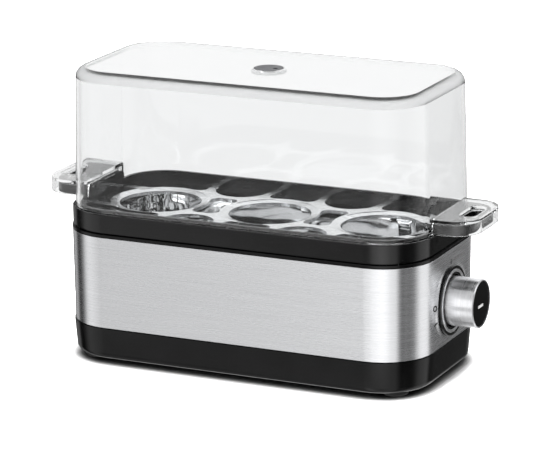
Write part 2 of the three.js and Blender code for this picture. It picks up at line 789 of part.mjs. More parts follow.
// Carrier frame: outer wall, skirt below, lip and rack shelf inside, and a lug and grip at each end
function makeCarrierFrame() {
  const wall = bodyBlock([
    { inset: carrierInset, height: grooveHeight },
    ...upperEdge(carrierInset, carrierEdge, carrierLedgeHeight, smallSteps),
  ]);
  const skirt = straightBlock(carrierSkirtInset, 0, carrierLedgeHeight / 2);
  const lip = straightBlock(lipInset, carrierLedgeHeight / 2, carrierLedgeHeight + lipHeight);
  const lowerHollow = straightBlock(carrierSkirtInset + carrierSkirtWall, -cutReach, carrierShelfLevel);
  const shelfTop = carrierShelfLevel + carrierShelfThickness;
  const shelfHole = straightBlock(carrierHollowInset + carrierShelfWidth, 0, shelfTop + cutReach);
  const upperHollow = straightBlock(carrierHollowInset, shelfTop, carrierLedgeHeight + lipHeight + cutReach);
  const ringBody = wall.add(skirt).add(lip).subtract(lowerHollow).subtract(shelfHole).subtract(upperHollow);

  const lidFloor = lidLevel - carrierLevel;
  const crown = lidFloor + notchTop - freeGap;
  const lugEnd = gripStart + lipWall;
  const lugCornerRadius = notchCornerRadius - freeGap;
  const lug = archBlock(lugStart, lugEnd, notchHalfWidth - freeGap, shelfTop, crown, lugCornerRadius);
  const gripReach = handleReach - handleRim - gripTipGap;
  const gripHalfWidth = handleHalfWidth - handleRim - freeGap;
  const gripOutline = handleOutline(gripStart, gripReach, gripHalfWidth, handleTipRadius - handleRim);
  const gripTop = lidFloor + handleTop - handlePlate - gripDrop;
  const grip = extruded(gripOutline, gripPlate).translate([0, 0, gripTop - gripPlate]);
  const ends = lug.add(grip).subtract(fingerSlot(0, 0, crown * 2));
  return ringBody.add(mirrored(ends));
}

// Egg rack: three rings, an arc across each gap on both sides, and two arms at each end
function makeEggRack() {
  const tipX = bodyLength / 2 - carrierHollowInset - rackSideGap;
  const ringPlaces = [-rackPitch, 0, rackPitch];
  const armStart = rackPitch + Math.sqrt(ringRadius * ringRadius - rackArmY * rackArmY) - rackBand;
  let arm = box(tipX - armStart, rackArmWidth, rackThickness);
  arm = arm.translate([(tipX + armStart) / 2, 0, rackThickness / 2]);
  let lattice = mirrored(arm.translate([0, rackArmY, 0]).add(arm.translate([0, -rackArmY, 0])));
  const side = makeRackSide();
  lattice = lattice.add(side).add(side.rotate([0, 0, 180]));
  const hole = disc(ringRadius - rackBand / 4, -cutReach, cutReach, fineSides);
  for (const x of ringPlaces) {
    lattice = lattice.subtract(hole.translate([x, 0, 0]));
  }
  for (const x of ringPlaces) {
    lattice = lattice.add(makeEggRing().translate([x, 0, 0]));
  }
  return lattice;
}

// One egg ring: its seat slopes down towards the hole
function makeEggRing() {
  return turned([
    [eggRadius, -rackSeatDrop], [ringRadius, 0], [ringRadius, rackThickness],
    [eggRadius, rackThickness - rackSeatDrop], [eggRadius, -rackSeatDrop],
  ], fineSides);
}

// The two arcs of the rear side, each joined to its two rings by rounded webs
function makeRackSide() {
  const tipY = bodyWidth / 2 - carrierHollowInset - rackSideGap;
  const arc = makeRackArc(tipY);
  const arcHole = disc(rackArcInner, -cutReach, cutReach, fineSides);
  let side = null;
  for (const x of [-rackPitch / 2, rackPitch / 2]) {
    side = side ? side.add(arc.translate([x, 0, 0])) : arc.translate([x, 0, 0]);
    for (const ringX of [x - rackPitch / 2, x + rackPitch / 2]) {
      const web = makeWeb([ringX, 0], ringRadius, [x, rackArcCentreY], rackArcOuter);
      side = side.add(web.subtract(arcHole.translate([x, rackArcCentreY, 0])));
    }
  }
  return side;
}

// One arc: a half ring that opens to the side, with flared tips out to the carrier wall
function makeRackArc(tipY) {
  const [outer, inner] = [rackArcOuter, rackArcInner];
  const outline = new THREE.Shape();
  outline.moveTo(outer + rackTipFlare, tipY);
  outline.lineTo(outer, rackArcCentreY);
  outline.absarc(0, rackArcCentreY, outer, 0, -Math.PI, true);
  outline.lineTo(-outer - rackTipFlare, tipY);
  outline.lineTo(-inner - rackTipFlare, tipY);
  outline.absarc(0, rackArcCentreY, inner, -Math.PI, 0, false);
  outline.lineTo(inner + rackTipFlare, tipY);
  outline.closePath();
  return extruded(outline, rackThickness, fineSides / 4);
}

// A web between two round bands, its two sides hollowed by fillets that touch both bands
function makeWeb([x1, y1], radius1, [x2, y2], radius2) {
  const span = Math.hypot(x2 - x1, y2 - y1);
  const [side1, side2] = [radius1 + rackFilletRadius, radius2 + rackFilletRadius];
  const along = (span * span + side1 * side1 - side2 * side2) / (2 * span);
  const across = Math.sqrt(side1 * side1 - along * along);
  const [ux, uy] = [(x2 - x1) / span, (y2 - y1) / span];
  const corners = [1, -1].map((sign) => [
    x1 + ux * along - uy * across * sign,
    y1 + uy * along + ux * across * sign,
  ]);
  const outline = new THREE.Shape();
  outline.moveTo(x1, y1);
  outline.lineTo(...corners[1]);
  outline.lineTo(x2, y2);
  outline.lineTo(...corners[0]);
  outline.closePath();
  let web = extruded(outline, rackThickness);
  for (const [x, y] of corners) {
    web = web.subtract(disc(rackFilletRadius, -cutReach, cutReach).translate([x, y, 0]));
  }
  return web;
}

// Lid: a clear dome with a notch for the carrier's lug and a rimmed handle at each end
function makeLidDome() {
  const topInset = lidInset + lidDraft;
  const outer = bodyBlock([{ inset: lidInset, height: 0 }, ...upperEdge(topInset, lidEdgeRadius, lidHeight)]);
  const innerHeight = lidHeight - lidTopWall;
  const inner = bodyBlock([
    { inset: lidInset + lidWall, height: -cutReach },
    { inset: lidInset + lidWall, height: 0 },
    ...upperEdge(topInset + lidWall, lidEdgeRadius - lidWall, innerHeight),
  ]);
  const root = lidWallOuter - lidWall / 2;
  const plateOutline = handleOutline(root, handleReach, handleHalfWidth, handleTipRadius);
  const innerOutline = handleOutline(
    root - lidWall, handleReach - handleRim, handleHalfWidth - handleRim, handleTipRadius - handleRim);
  const cover = extruded(plateOutline, handleRimDepth).translate([0, 0, handleTop - handleRimDepth]);
  const hollow = extruded(innerOutline, handleTop - handlePlate + cutReach).translate([0, 0, -cutReach]);
  const collar = fingerSlot(fingerRim, handleTop - handlePlate - fingerRimDepth, handleTop);
  const handle = cover.subtract(hollow).add(collar).subtract(fingerSlot(0, 0, handleTop * 2));
  const notchStart = root - lidWall * 2;
  const notchEnd = lidWallOuter + fitGap;
  const notch = archBlock(notchStart, notchEnd, notchHalfWidth, -cutReach, notchTop, notchCornerRadius);
  const ventHole = disc(ventRadius + fitGap, innerHeight - cutReach, lidHeight + cutReach, fineSides);
  return outer.add(mirrored(handle)).subtract(inner).subtract(mirrored(notch)).subtract(ventHole);
}

// Steam vent: a disc flush with the lid's top, held by a wider edge below, with one small port
function makeSteamVent() {
  const holdTop = -fitGap;
  const holdRadius = ventRadius + fitGap + ventHoldWidth;
  const plug = disc(ventRadius, holdTop - ventHoldHeight / 2, lidTopWall, fineSides);
  const hold = disc(holdRadius, holdTop - ventHoldHeight, holdTop, fineSides);
  const port = disc(ventPortRadius, -cutReach, lidTopWall + cutReach, holeSides).translate([ventPortX, 0, 0]);
  return plug.add(hold).subtract(port);
}

// An insulated lead that leaves each end along the direction given
function makeLead(start, startWay, end, endWay) {
  const [first, last] = [new THREE.Vector3(...start), new THREE.Vector3(...end)];
  const second = new THREE.Vector3(...startWay).multiplyScalar(leadBend).add(first);
  const third = new THREE.Vector3(...endWay).multiplyScalar(leadBend).add(last);
  return tubeAlong(new THREE.CubicBezierCurve3(first, second, third, last), leadRadius, leadSteps);
}

function addBase() {
  place("base_pan", makeBasePan(), blackPlastic, 0, 0, baseLevel);
  place("steel_band", makeSteelBand(), brushedSteel, 0, 0, bandLevel);
  place("top_frame", makeTopFrame(), blackPlastic, 0, 0, frameLevel);
  const cornerNames = ["rear_right", "rear_left", "front_left", "front_right"];
  fourCorners(cornerPostX, cornerPostY).forEach(([x, y], i) => {
    const headSeat = baseLevel + screwRecessDepth - fitGap;
    place(`body_screw_${cornerNames[i]}`, screw(bodyScrewLength), zincSteel, x, y, headSeat);
  });
  fourCorners(cornerPostX, cornerPostY).forEach(([x, y], i) => {
    place(`rubber_foot_${cornerNames[i]}`, makeRubberFoot(), rubber, x, y, 0);
  });
  const glandY = bodyWidth / 2 - panInset - fitGap;
  place("cord_gland", makeCordGland(), blackPlastic, glandX, glandY, baseLevel + glandHeight);
  const blockLevel = baseLevel + panFloor + terminalPostHeight + fitGap;
  place("terminal_block", makeTerminalBlock(), ceramic, terminalX, terminalY, blockLevel);
  const screwLevel = blockLevel + terminalHeight + fitGap;
  const held = screw(terminalScrewLength).rotate([180, 0, 0]);
  place("terminal_screw", held, zincSteel, terminalX, terminalY, screwLevel);
}

function addHeater() {
  place("heating_dish", makeHeatingDish(), polishedSteel, 0, 0, dishLevel);
  place("dish_seal", makeDishSeal(), silicone, 0, 0, sealLevel);
  place("heat_spreader", makeHeatSpreader(), aluminium, 0, 0, spreaderLevel);
  place("heating_element", makeHeatingElement(), zincSteel, 0, 0, elementLevel);
  place("clamp_bridge", makeClampBridge(), zincSteel, 0, 0, bridgeLevel);
  for (const [name, y] of [["rear", bridgeBossOffset], ["front", -bridgeBossOffset]]) {
    place(`bridge_screw_${name}`, screw(bridgeScrewLength), zincSteel, 0, y, bridgeLevel - fitGap);
  }
  const washerLevel = bridgeLevel - fitGap - washerThickness;
  const washer = ring(washerRadius, studRadius + fitGap, 0, washerThickness);
  place("dish_washer", washer, zincSteel, 0, 0, washerLevel);
  place("dish_nut", makeNut(), zincSteel, 0, 0, washerLevel - fitGap - nutHeight);
  const seatLevel = spreaderLevel - fitGap;
  place("thermostat", makeThermostat(), ceramic, thermostatX, 0, seatLevel);
  place("thermal_fuse", makeThermalFuse(), zincSteel, fuseX, 0, seatLevel - fuseRadius);
  place("fuse_clip", makeFuseClip(), zincSteel, fuseX, 0, seatLevel);
}

// The bezel's seat lies just off the tapered band, and the control unit hangs behind it
function bezelSeatX() {
  const bandFace = bodyLength / 2 - bandLowInset * (1 - (controlHeight - bandLevel) / bandHeight);
  return bandFace + fitGap;
}

function controlUnitX() {
  return bezelSeatX() - bezelCupDepth - bezelFloor - bezelPostDepth - fitGap;
}

function addControl() {
  const bezelX = bezelSeatX();
  const knobX = bezelX - bezelCupDepth + knobFloorGap;
  place("control_bezel", makeControlBezel(), blackPlastic, bezelX, 0, controlHeight);
  const ringX = bezelX + bezelFlange - bezelGrooveDepth + fitGap;
  place("dial_ring", makeDialRing(), aluminium, ringX, 0, controlHeight);
  const unitX = controlUnitX();
  place("control_unit", makeControlUnit(), ceramic, unitX, 0, controlHeight);
  for (const [name, side] of [["rear", 1], ["front", -1]]) {
    const y = side * bezelPostOffset;
    const x = unitX - controlPlateThickness - fitGap;
    const held = place(`control_screw_${name}`, screw(controlScrewLength), zincSteel, x, y, controlHeight);
    held.rotation.y = Math.PI / 2;
  }
  place("knob_sleeve", makeKnobSleeve(), aluminium, knobX, 0, controlHeight);
  place("knob_core", makeKnobCore(), blackPlastic, knobX, 0, controlHeight);
  const faceX = knobX + knobLength - knobFaceRecess;
  const pointerX = faceX - pointerThickness / 2;
  place("knob_pointer", makeKnobPointer(), whitePaint, pointerX, 0, controlHeight - pointerDrop);
  const spindleBack = unitX - spindleTail;
  const spindleLength = faceX - knobFaceThickness - fitGap - spindleBack;
  place("control_spindle", makeSpindle(spindleLength), zincSteel, spindleBack, 0, controlHeight);
}

// Leads run from the terminal block to the control and the fuse, and on to the element's pins
function addLeads() {
  const way = terminalLength / terminalWays;
  const terminalFace = terminalY - terminalDepth / 2 - fitGap;
  const terminalMouth = baseLevel + panFloor + terminalPostHeight + fitGap + terminalHeight / 2;
  const tagEnd = controlUnitX() - controlPlateThickness - controlBodyDepth - controlTagLength - fitGap;
  const pinEnd = elementHalfLength + elementPinLength + fitGap;
  const fuseLevel = spreaderLevel - fitGap - fuseRadius;
  const fuseEnd = fuseLength / 2 + fitGap;
  const [left, right, forward] = [[-1, 0, 0], [1, 0, 0], [0, -1, 0]];
  const leads = {
    lead_feed: [
      [terminalX + way, terminalFace, terminalMouth], forward,
      [tagEnd, 0, controlHeight + controlTagPitch], left],
    lead_element: [
      [tagEnd, 0, controlHeight - controlTagPitch], left,
      [pinEnd, elementBendRadius, elementLevel], right],
    lead_return: [
      [terminalX - way, terminalFace, terminalMouth], forward,
      [fuseX - fuseEnd, 0, fuseLevel], left],
    lead_fuse: [
      [fuseX + fuseEnd, 0, fuseLevel], right,
      [pinEnd, -elementBendRadius, elementLevel], right],
  };
  for (const [name, ends] of Object.entries(leads)) {
    place(name, makeLead(...ends), leadCover, 0, 0, 0);
  }
}

function addCarrierAndLid() {
  place("carrier_frame", makeCarrierFrame(), blackPlastic, 0, 0, carrierLevel);
  const rackLevel = carrierLevel + carrierShelfLevel + carrierShelfThickness + fitGap;
  place("egg_rack", makeEggRack(), rackMetal, 0, 0, rackLevel);
  place("lid_dome", makeLidDome(), clearPlastic, 0, 0, lidLevel);
  place("steam_vent", makeSteamVent(), ventPlastic, 0, 0, lidLevel + lidHeight - lidTopWall);
}

addBase();
addHeater();
addControl();
addLeads();
addCarrierAndLid();

export default group;
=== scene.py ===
# Looks of the three-egg boiler: materials, edges, the swell and marks round the knob, light and camera.
# Lengths are in metres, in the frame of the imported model. The front faces -Y and the knob is on the +X end.
import math
import bmesh
import bpy
from mathutils import Matrix, Vector


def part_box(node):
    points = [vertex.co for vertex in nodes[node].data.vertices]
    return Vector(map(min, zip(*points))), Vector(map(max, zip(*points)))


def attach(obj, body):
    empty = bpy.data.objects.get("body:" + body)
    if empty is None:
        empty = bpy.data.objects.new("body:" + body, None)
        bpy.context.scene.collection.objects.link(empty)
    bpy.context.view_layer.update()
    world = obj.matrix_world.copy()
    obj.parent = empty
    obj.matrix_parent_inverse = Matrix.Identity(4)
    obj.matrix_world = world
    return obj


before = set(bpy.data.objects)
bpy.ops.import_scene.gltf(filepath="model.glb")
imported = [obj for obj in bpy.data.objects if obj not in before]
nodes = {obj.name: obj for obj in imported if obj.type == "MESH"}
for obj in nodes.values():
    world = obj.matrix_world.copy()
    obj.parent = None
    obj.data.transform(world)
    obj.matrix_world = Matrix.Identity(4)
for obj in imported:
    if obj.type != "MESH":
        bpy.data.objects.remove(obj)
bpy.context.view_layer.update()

MM = 0.001

# Camera, as the photograph was taken, and the point that it looks at
CAMERA_AZIMUTH = math.radians(25.0)
CAMERA_ELEVATION = math.radians(15.2)
CAMERA_ROLL = math.radians(0.6)
CAMERA_DISTANCE = 1.557
CAMERA_LENS = 208.5
CAMERA_SENSOR = 36
CAMERA_FAR = 50
AIM_RIGHT = 0.00215
AIM_HEIGHT = 0.0663

# Edge finish of the CAD pieces
WELD_DISTANCE = 1e-6
FLAT_ANGLE = math.radians(0.6)
EDGE_ANGLE = math.radians(32)
EDGE_WIDTH = 0.12 * MM
EDGE_SEGMENTS = 2
EVEN_WEIGHT = 90

# Steel band's +X face, which leans a little, and the knob on it
BAND_LOW, BAND_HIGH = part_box("steel_band")
BAND_TAPER = 0.4 * MM
KNOB_HEIGHT = 39 * MM
KNOB_AXIS = (0, 0, KNOB_HEIGHT)

# Swell of that face round the knob's bezel: highest at its two sides, fading out above and below,
# with its foot sunk into the sheet
SWELL_INNER = 17.3 * MM
SWELL_ACROSS = 21.4 * MM
SWELL_UP = 20 * MM
SWELL_HEIGHT = 0.8 * MM
SWELL_SUNK = 0.04 * MM
SWELL_DEPTH = 0.1 * MM
SWELL_STEPS = 14
SWELL_SIDES = 120

# Printed marks beside the knob, their places given from its axis: a bar on top, a ring and a low bar in front
MARK_THICKNESS = 0.05 * MM
MARK_GAP = 0.03 * MM
MARK_SIDES = 28
MARK_STEPS = 8
TOP_MARK_REACH = 19 * MM
TOP_MARK_SIZE = (0.55 * MM, 2.8 * MM)
RING_MARK_PLACE = (-20.2 * MM, 1.2 * MM)
RING_MARK_RADII = (0.9 * MM, 1.6 * MM)
LOW_MARK_REACH = 20.4 * MM
LOW_MARK_TURN = math.radians(200)
LOW_MARK_LEAN = math.radians(-70)
LOW_MARK_SIZE = (0.9 * MM, 3 * MM)

# Noise lies mostly between these two values, and a brushed metal's gloss is turned by a quarter turn
NOISE_LOW = 0.3
NOISE_HIGH = 0.7
QUARTER_TURN = 0.25

# Darkest and lightest grey of the moulded black plastics, and how much bluer the lightest is
BLACK_DARK = 0.001
BLACK_LIGHT = 0.003
BLACK_BLUE = 1.06

# Vent: its upper disc is dark
VENT_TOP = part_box("steam_vent")[1].z
VENT_DISC = 2.2 * MM
VENT_BLEND = 0.2 * MM

# Lid: its rounded top edge is softly frosted, where its surface is neither level nor upright
FROST = 0.65
FROST_START = VENT_TOP - 12 * MM
FROST_END = VENT_TOP - 8 * MM
LEAN_START = 0.0004
LEAN_END = 0.012

# The lid's thin walls mirror little, and its thick handles, past this reach, bend and mirror light more
WALL_REACH = 91 * MM
HANDLE_REACH = 94 * MM
WALL_INDEX = 1.33
HANDLE_INDEX = 1.49

# Studio surroundings: brightness by direction, as (degrees, level), in front at 0 degrees, knob end at 90.
# The low levels lie in a band below the horizon, the wide ones above and below it, the high ones above
# those, and one level over all. The through levels are what light meets that has passed the clear lid.
LOW_LEVELS = [
    (-180, 0.25), (-150, 0.2), (-135, 0.16), (-122, 0.45), (-111, 0.4), (-105, 0.03), (-92, 0.03),
    (-84, 0.2), (-77, 0.5), (-70, 0.9), (-60, 1.0), (-36, 0.95), (-29, 0.8), (-25, 0.55), (-21, 0.38),
    (-10, 0.5), (0, 1.3), (18, 1.9), (28, 1.6), (38, 1.1), (48, 1.0), (56, 0.2), (61, 0.05), (70, 0.05),
    (78, 0.08), (90, 0.15), (98, 0.5), (108, 1.0), (131, 1.0), (139, 0.1), (160, 0.08), (180, 0.25),
]
WIDE_LEVELS = [
    (-180, 1.05), (-148, 1.05), (-137, 0.2), (-122, 0.5), (-111, 0.5), (-105, 0.05), (-92, 0.05),
    (-84, 0.25), (-71, 0.9), (-60, 0.8), (-36, 0.4), (-29, 0.36), (-26, 1.1), (-22, 1.9), (-10, 1.6),
    (0, 1.0), (18, 0.8), (30, 0.95), (47, 1.0), (53, 0.85), (59, 0.36), (64, 0.16), (70, 0.5), (78, 0.22),
    (88, 0.24), (96, 0.4), (105, 1.0), (132, 1.25), (140, 1.0), (158, 0.62), (164, 0.62), (174, 1.05),
]
THROUGH_LEVELS = [
    (-180, 1.02), (-122, 1.02), (-115, 0.88), (-105, 0.88), (-98, 0.95), (-84, 0.95), (-78, 0.45),
    (-70, 0.45), (-62, 0.95), (0, 1.05), (62, 0.95), (70, 0.45), (78, 0.45), (84, 0.95), (98, 0.95),
    (105, 0.88), (115, 0.88), (122, 1.02), (180, 1.02),
]
HIGH_LEVELS = [
    (-180, 1.2), (-152, 1.2), (-142, 0.12), (-115, 0.12), (-105, 1.2), (-62, 1.2), (-52, 0.2),
    (-22, 0.3), (-12, 1.3), (28, 1.3), (38, 0.12), (74, 0.12), (84, 1.2), (122, 1.2), (132, 0.2),
    (154, 0.2), (164, 1.2), (180, 1.2),
]
TOP_LEVEL = 0.95

# Where one set of levels goes over to the next, as the height of the direction's unit vector
LOW_FROM = (-0.5, -0.44)
LOW_TO = (-0.16, -0.1)
HIGH_FROM = (0.38, 0.5)
TOP_FROM = (0.66, 0.76)

# Floor: its brightness as a surface and as the background that is looked at, and the painted shade close to
# what stands on it, which deepens its real shadow there
FLOOR_SIZE = 6.0
FLOOR_DROP = 0.02 * MM
FLOOR_PLAIN = 0.85
FLOOR_SEEN = 2.6
SHADE_REACH = 6.5 * MM
SHADE_DEPTH = 2.8
SHADE_SAMPLES = 8


def new_material(name):
    """A new material with its node tree and the shader in it."""
    material = bpy.data.materials.new(name)
    material.use_nodes = True
    tree = material.node_tree
    return material, tree, tree.nodes["Principled BSDF"]


def new_metal(name):
    """A new material whose shader is set to metal."""
    material, tree, shader = new_material(name)
    shader.inputs["Metallic"].default_value = 1
    return material, tree, shader


def combine(tree, operation, first, second):
    """Two values joined by an operation; the second may be a number."""
    node = tree.nodes.new("ShaderNodeMath")
    node.operation = operation
    tree.links.new(first, node.inputs[0])
    if isinstance(second, float):
        node.inputs[1].default_value = second
    else:
        tree.links.new(second, node.inputs[1])
    return node.outputs[0]


def square(tree, value):
    return combine(tree, "MULTIPLY", value, value)


def root(tree, value):
    return combine(tree, "POWER", value, 0.5)


def spread(tree, value, start, end, low=0.0, high=1.0, smooth=False):
    """Goes from low to high as the value goes from start to end."""
    node = tree.nodes.new("ShaderNodeMapRange")
    if smooth:
        node.interpolation_type = "SMOOTHSTEP"
    for name, number in (("From Min", start), ("From Max", end), ("To Min", low), ("To Max", high)):
        node.inputs[name].default_value = number
    tree.links.new(value, node.inputs["Value"])
    return node.outputs["Result"]


def noise_at(tree, place, scale, detail, low, high):
    """Noise at a place, spread to the range from low to high."""
    noise = tree.nodes.new("ShaderNodeTexNoise")
    noise.inputs["Scale"].default_value = scale
    noise.inputs["Detail"].default_value = detail
    tree.links.new(place, noise.inputs["Vector"])
    return spread(tree, noise.outputs["Fac"], NOISE_LOW, NOISE_HIGH, low, high)


def object_place(tree, kind="Object"):
    """The object's own coordinates, its normals, or in a world the direction that is looked in."""
    return tree.nodes.new("ShaderNodeTexCoord").outputs[kind]


def axis_parts(tree, vector):
    split = tree.nodes.new("ShaderNodeSeparateXYZ")
    tree.links.new(vector, split.inputs[0])
    return split.outputs


def axis_value(tree, axis, kind="Object"):
    """One part of the object's own coordinates, or of its normals, 0 to 2 for X to Z."""
    return axis_parts(tree, object_place(tree, kind))[axis]


def grain(tree, scale, detail=3.0, low=0.0, high=1.0, stretch=(1, 1, 1)):
    """Noise over the object's own coordinates, finer along the axes with more stretch."""
    mapping = tree.nodes.new("ShaderNodeMapping")
    mapping.inputs["Scale"].default_value = stretch
    tree.links.new(object_place(tree), mapping.inputs["Vector"])
    return noise_at(tree, mapping.outputs["Vector"], scale, detail, low, high)


def rounds(tree, centre, scale, low, high, radius_share):
    """Noise that changes only with the distance from an axis along X and along it, as turning marks do."""
    shift = tree.nodes.new("ShaderNodeVectorMath")
    shift.operation = "SUBTRACT"
    shift.inputs[1].default_value = centre
    tree.links.new(object_place(tree), shift.inputs[0])
    along, side, up = axis_parts(tree, shift.outputs[0])
    reach = root(tree, combine(tree, "ADD", square(tree, side), square(tree, up)))
    join = tree.nodes.new("ShaderNodeCombineXYZ")
    tree.links.new(combine(tree, "MULTIPLY", reach, radius_share), join.inputs[0])
    tree.links.new(along, join.inputs[1])
    return noise_at(tree, join.outputs[0], scale, 4, low, high)


def tint(tree, value, dark, light):
    """Base colour that varies between two colours with the value."""
    mix = tree.nodes.new("ShaderNodeMix")
    mix.data_type = "RGBA"
    mix.inputs["A"].default_value = (*dark, 1)
    mix.inputs["B"].default_value = (*light, 1)
    tree.links.new(value, mix.inputs["Factor"])
    tree.links.new(mix.outputs["Result"], tree.nodes["Principled BSDF"].inputs["Base Color"])


def rough(tree, value):
    tree.links.new(value, tree.nodes["Principled BSDF"].inputs["Roughness"])


def add_bump(tree, height, distance, strength):
    """Fine relief of a surface, without any change of its shape."""
    bump = tree.nodes.new("ShaderNodeBump")
    bump.inputs["Distance"].default_value = distance
    bump.inputs["Strength"].default_value = strength
    tree.links.new(height, bump.inputs["Height"])
    tree.links.new(bump.outputs["Normal"], tree.nodes["Principled BSDF"].inputs["Normal"])


def spread_gloss(tree, share, tangent):
    """Spreads a metal's gloss across the direction of its brushing or turning marks."""
    shader = tree.nodes["Principled BSDF"]
    shader.inputs["Anisotropic"].default_value = share
    shader.inputs["Anisotropic Rotation"].default_value = QUARTER_TURN
    tree.links.new(tangent, shader.inputs["Tangent"])


def black_plastic(name, rough_low, rough_high, gloss):
    """Moulded black plastic: fine even texture, faint wear in gloss."""
    material, tree, shader = new_material(name)
    shader.inputs["Specular IOR Level"].default_value = gloss
    light = (BLACK_LIGHT, BLACK_LIGHT, BLACK_LIGHT * BLACK_BLUE)
    tint(tree, grain(tree, scale=60, detail=2), (BLACK_DARK,) * 3, light)
    rough(tree, grain(tree, scale=140, detail=4, low=rough_low, high=rough_high))
    add_bump(tree, grain(tree, scale=2600, detail=2), distance=0.012 * MM, strength=0.15)
    return material


def brushed_steel():
    """Steel sheet brushed along the body, so its gloss spreads up and down."""
    material, tree, _ = new_metal("brushed_steel")
    along = tree.nodes.new("ShaderNodeVectorMath")
    along.operation = "CROSS_PRODUCT"
    along.inputs[0].default_value = (0, 0, 1)
    tree.links.new(object_place(tree, "Normal"), along.inputs[1])
    spread_gloss(tree, 0.92, along.outputs["Vector"])
    streaks = grain(tree, scale=1, detail=5, stretch=(26, 26, 1500))
    tint(tree, streaks, dark=(0.76, 0.765, 0.78), light=(0.815, 0.82, 0.835))
    rough(tree, grain(tree, scale=1, detail=4, low=0.23, high=0.3, stretch=(40, 40, 2600)))
    add_bump(tree, grain(tree, scale=1, stretch=(30, 30, 3600)), distance=0.002 * MM, strength=0.3)
    return material


def polished_steel():
    """Deep-drawn polished steel with broad, shallow drawing waves."""
    material, tree, _ = new_metal("polished_steel")
    tint(tree, grain(tree, scale=45), dark=(0.74, 0.745, 0.75), light=(0.86, 0.865, 0.87))
    rough(tree, grain(tree, scale=90, detail=5, low=0.02, high=0.05))
    add_bump(tree, grain(tree, scale=1, detail=0, stretch=(42, 42, 4)), distance=1.1 * MM, strength=0.6)
    return material


def satin_metal(name, dark, light, rough_low, rough_high):
    """Metal with a satin surface and faint marks along X."""
    material, tree, _ = new_metal(name)
    tint(tree, grain(tree, scale=1, detail=4, stretch=(30, 900, 900)), dark, light)
    rough(tree, grain(tree, scale=220, detail=4, low=rough_low, high=rough_high))
    add_bump(tree, grain(tree, scale=1, stretch=(60, 2200, 2200)), distance=0.004 * MM, strength=0.6)
    return material


def turned_metal(name, centre, dark, light, rough_low, rough_high):
    """Metal turned about an axis along X, so its gloss spreads along the axis."""
    material, tree, _ = new_metal(name)
    tangent = tree.nodes.new("ShaderNodeTangent")
    tangent.direction_type = "RADIAL"
    tangent.axis = "X"
    spread_gloss(tree, 0.7, tangent.outputs["Tangent"])
    tint(tree, rounds(tree, centre, scale=1500, low=0, high=1, radius_share=0.02), dark, light)
    rough(tree, rounds(tree, centre, scale=1900, low=rough_low, high=rough_high, radius_share=0.02))
    return material


def moulded_skin(tree, rough_low, rough_high, relief_scale=900):
    """Uneven gloss and fine relief of a moulded surface."""
    rough(tree, grain(tree, scale=160, detail=4, low=rough_low, high=rough_high))
    add_bump(tree, grain(tree, scale=relief_scale), distance=0.02 * MM, strength=0.5)


def soft_plastic(name, dark, light, rough_low, rough_high, relief_scale=900):
    """Matt moulded plastic, rubber or print."""
    material, tree, _ = new_material(name)
    tint(tree, grain(tree, scale=80, detail=4), dark, light)
    moulded_skin(tree, rough_low, rough_high, relief_scale)
    return material


def vent_plastic():
    """Grey plastic whose upper disc is dark and whose hidden holding edge is pale."""
    material, tree, _ = new_material("vent_grey")
    disc_start = VENT_TOP - VENT_DISC
    disc = spread(tree, axis_value(tree, 2), disc_start, disc_start + VENT_BLEND, smooth=True)
    tint(tree, disc, dark=(0.8, 0.81, 0.82), light=(0.07, 0.072, 0.078))
    moulded_skin(tree, rough_low=0.4, rough_high=0.55)
    return material


def clear_plastic():
    """Clear moulded plastic with hardly any tint, slight flow marks, and a soft frost at the top edge."""
    material, tree, shader = new_material("clear_plastic")
    shader.inputs["Base Color"].default_value = (0.935, 0.94, 0.942, 1)
    shader.inputs["Transmission Weight"].default_value = 1
    reach = root(tree, square(tree, axis_value(tree, 0)))
    index = spread(tree, reach, WALL_REACH, HANDLE_REACH, WALL_INDEX, HANDLE_INDEX, smooth=True)
    tree.links.new(index, shader.inputs["IOR"])
    level = square(tree, axis_value(tree, 2, "Normal"))
    lean = combine(tree, "SUBTRACT", level, square(tree, level))
    curved = spread(tree, lean, LEAN_START, LEAN_END, 0.0, FROST, smooth=True)
    top = spread(tree, axis_value(tree, 2), FROST_START, FROST_END, smooth=True)
    flow = grain(tree, scale=40, low=0.0, high=0.02)
    rough(tree, combine(tree, "ADD", flow, combine(tree, "MULTIPLY", curved, top)))
    return material


def assign(material, *names):
    for name in names:
        mesh = nodes[name].data
        mesh.materials.clear()
        mesh.materials.append(material)


def dress_black():
    pan_black = black_plastic("base_black", rough_low=0.13, rough_high=0.2, gloss=0.28)
    carrier_black = black_plastic("carrier_black", rough_low=0.11, rough_high=0.18, gloss=0.45)
    knob_black = black_plastic("knob_black", rough_low=0.28, rough_high=0.42, gloss=0.06)
    assign(pan_black, "base_pan", "top_frame", "control_bezel", "cord_gland")
    assign(carrier_black, "carrier_frame")
    assign(knob_black, "knob_core")


def dress_metal(steel):
    assign(steel, "steel_band")
    assign(polished_steel(), "heating_dish")
    rack = satin_metal("rack_metal", dark=(0.66, 0.67, 0.68), light=(0.84, 0.85, 0.86),
                       rough_low=0.15, rough_high=0.28)
    assign(rack, "egg_rack")
    knob = turned_metal("knob_aluminium", KNOB_AXIS, dark=(0.8, 0.805, 0.82), light=(0.88, 0.885, 0.9),
                        rough_low=0.26, rough_high=0.34)
    assign(knob, "knob_sleeve", "dial_ring")
    spreader = satin_metal("spreader_aluminium", dark=(0.62, 0.63, 0.65), light=(0.76, 0.77, 0.79),
                           rough_low=0.32, rough_high=0.48)
    assign(spreader, "heat_spreader")
    zinc = satin_metal("zinc_steel", dark=(0.42, 0.43, 0.45), light=(0.6, 0.61, 0.63),
                       rough_low=0.3, rough_high=0.5)
    screws = [name for name in nodes if "_screw" in name]
    assign(zinc, *screws, "clamp_bridge", "dish_washer", "dish_nut", "fuse_clip", "thermal_fuse",
           "heating_element", "control_spindle")


